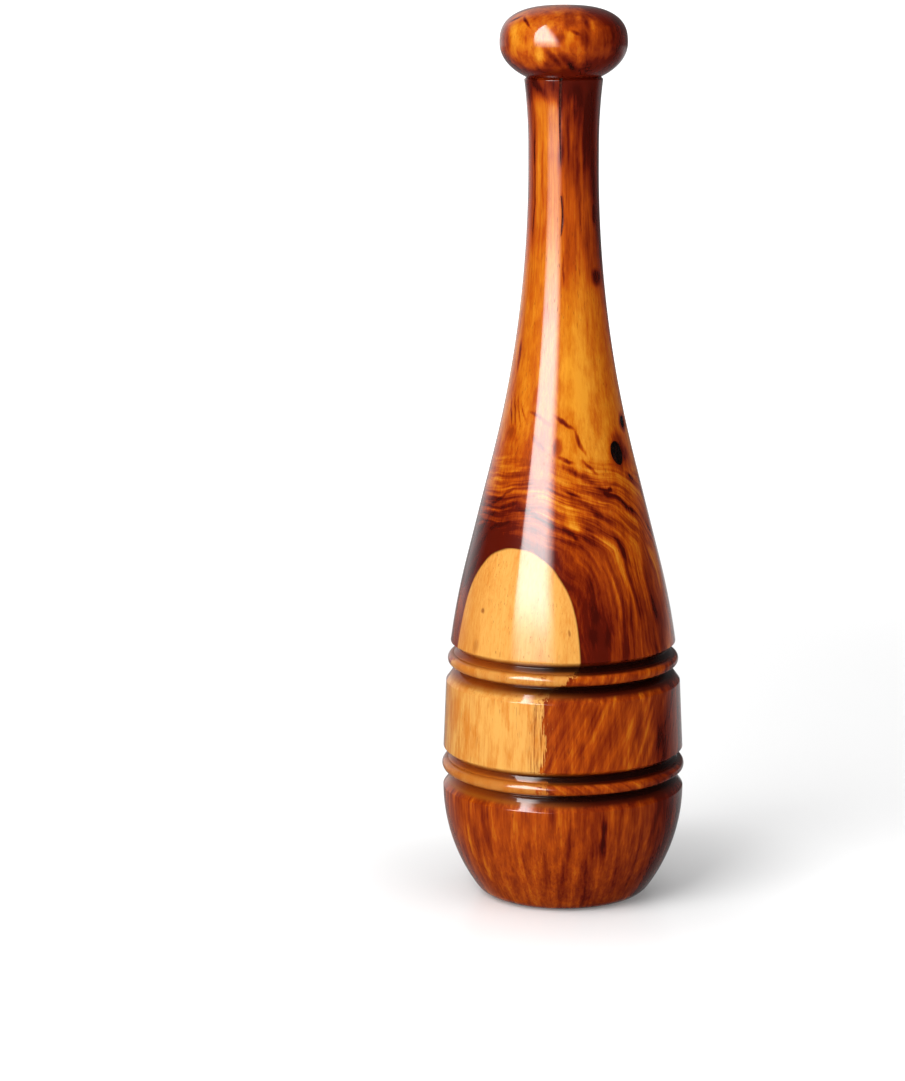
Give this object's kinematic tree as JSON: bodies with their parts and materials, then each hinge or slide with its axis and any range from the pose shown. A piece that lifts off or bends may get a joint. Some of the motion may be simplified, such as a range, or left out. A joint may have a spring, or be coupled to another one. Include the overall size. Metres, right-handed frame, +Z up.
{
  "type": "swinging club",
  "caption": "Bottle-shaped turned wooden club on a flat foot, with beads between V grooves, a waisted neck and a round knob.",
  "frame": {"origin": "centre of the flat foot, on the surface the club stands on", "axes": "+Z up along the turning axis from the foot to the knob; -Y is the front"},
  "size_m": [0.1058, 0.1058, 0.3855],
  "materials": {
    "figured_hardwood": "figured amber and red-brown heartwood with pale sapwood, under thick high-gloss lacquer",
    "red_hardwood": "amber to dark red heartwood under thick high-gloss lacquer",
    "dowel_wood": "plain unfinished hardwood dowel with glue flutes",
    "screw_steel": "zinc-plated steel, dulled",
    "dead_knot": "black dead knot, lacquered over",
    "dark_filler": "dark wood filler, lacquered over"
  },
  "bodies": {
    "root": {"club_body": "figured_hardwood", "knob": "red_hardwood", "knob_dowel": "dowel_wood", "knob_screw": "screw_steel", "large_knot": "dead_knot", "small_knot": "dead_knot", "check_fills": "dark_filler"}
  },
  "joints": []
}
